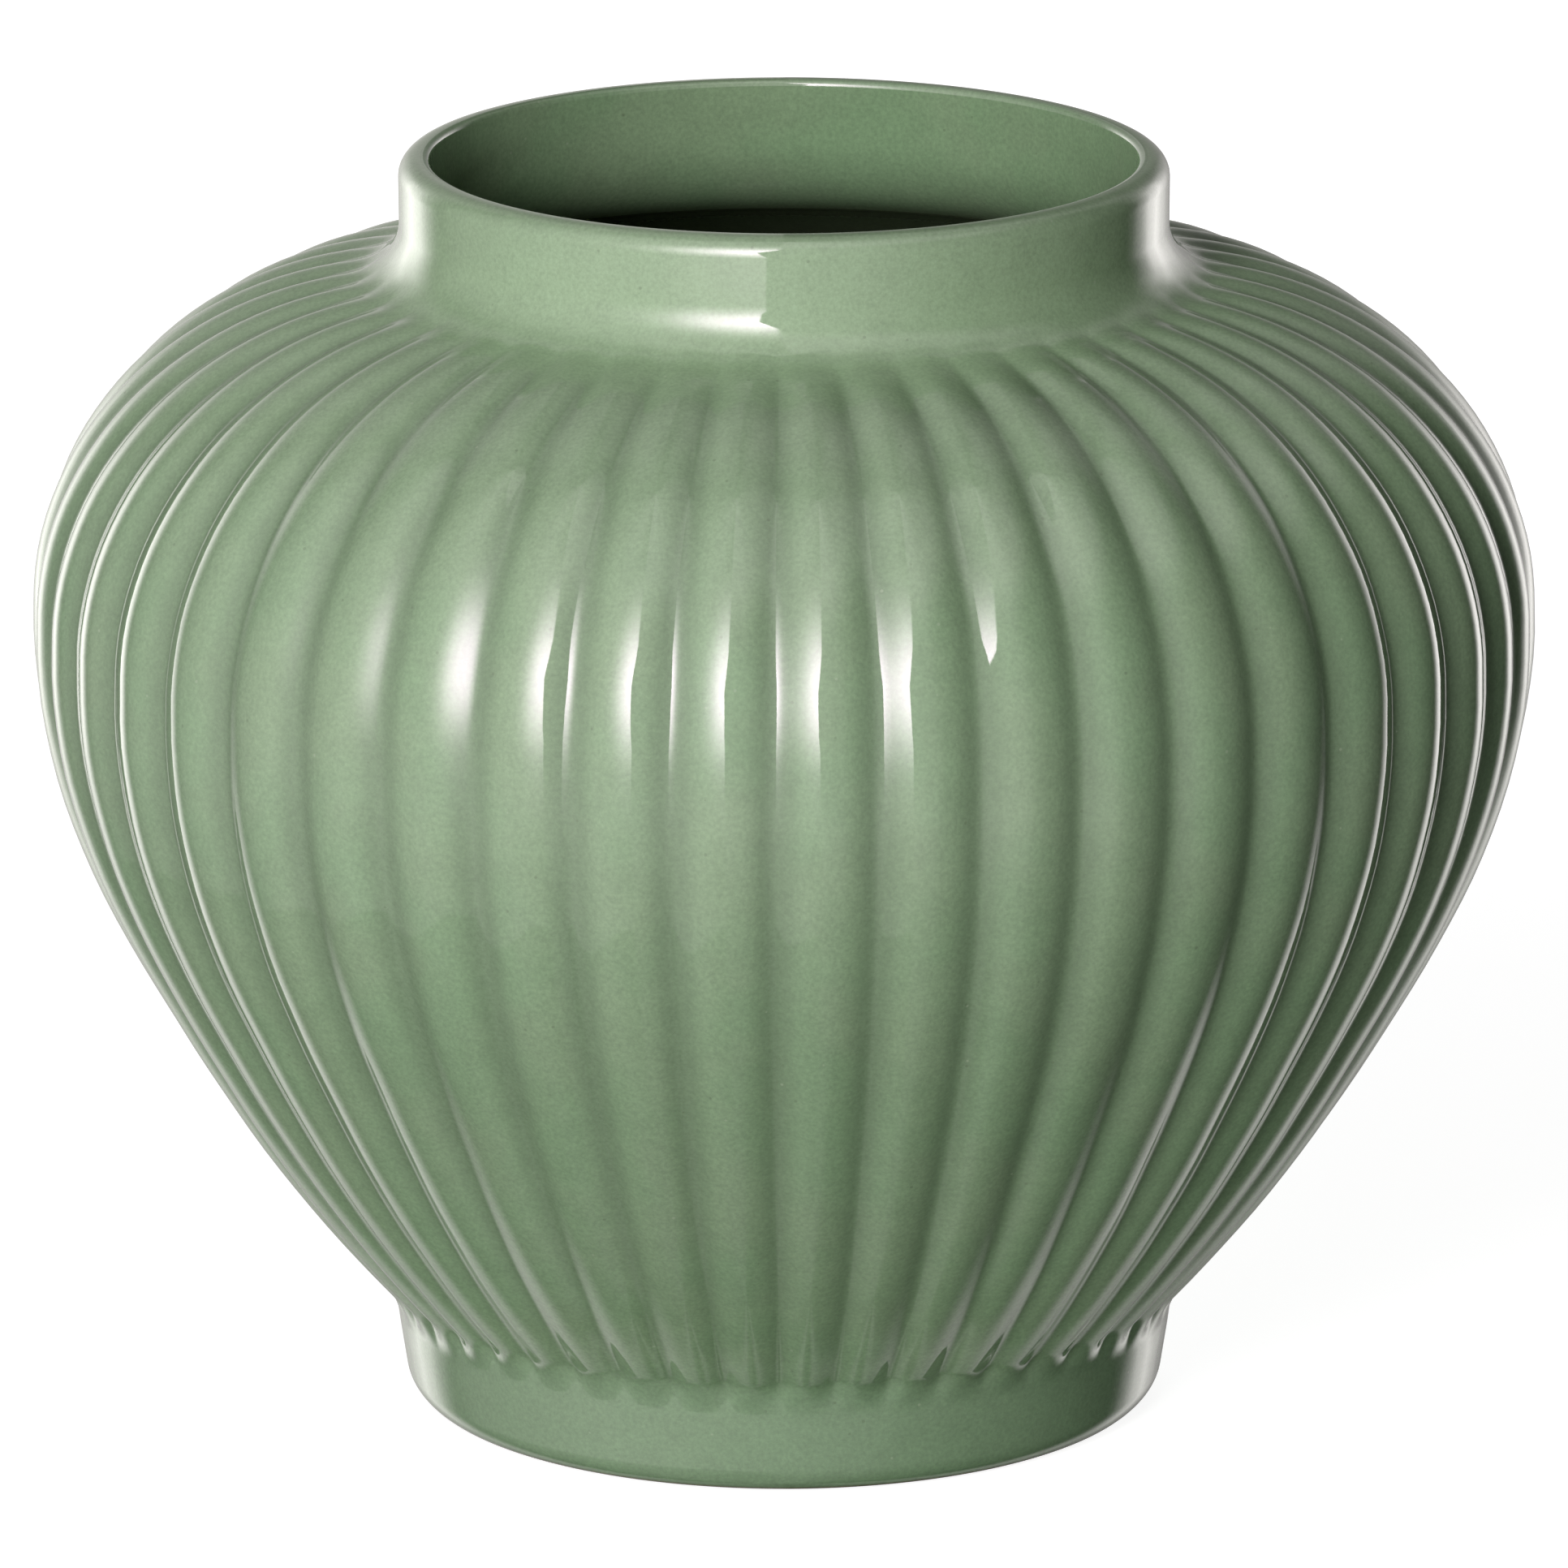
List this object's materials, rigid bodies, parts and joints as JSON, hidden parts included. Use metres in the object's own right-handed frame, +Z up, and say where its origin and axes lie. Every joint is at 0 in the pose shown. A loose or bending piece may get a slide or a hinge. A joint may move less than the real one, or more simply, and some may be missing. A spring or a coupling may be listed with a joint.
{
  "type": "ribbed vase",
  "caption": "Squat wide-bellied stoneware vase with upright ribs, a short wide collar neck, a low round foot and a green gloss glaze.",
  "frame": {"origin": "middle of the foot, on the surface that the vase stands on", "axes": "+Z up along the vase's axis; +X runs through the crest of a rib"},
  "size_m": [0.212, 0.2122, 0.18],
  "materials": {
    "bare_stoneware": "matt",
    "green_glaze": "gloss",
    "inside_green_glaze": "gloss",
    "base_green_glaze": "gloss"
  },
  "bodies": {
    "root": {"stoneware_body": "bare_stoneware", "outside_glaze": "green_glaze", "inside_glaze": "inside_green_glaze", "base_glaze": "base_green_glaze"}
  },
  "joints": []
}
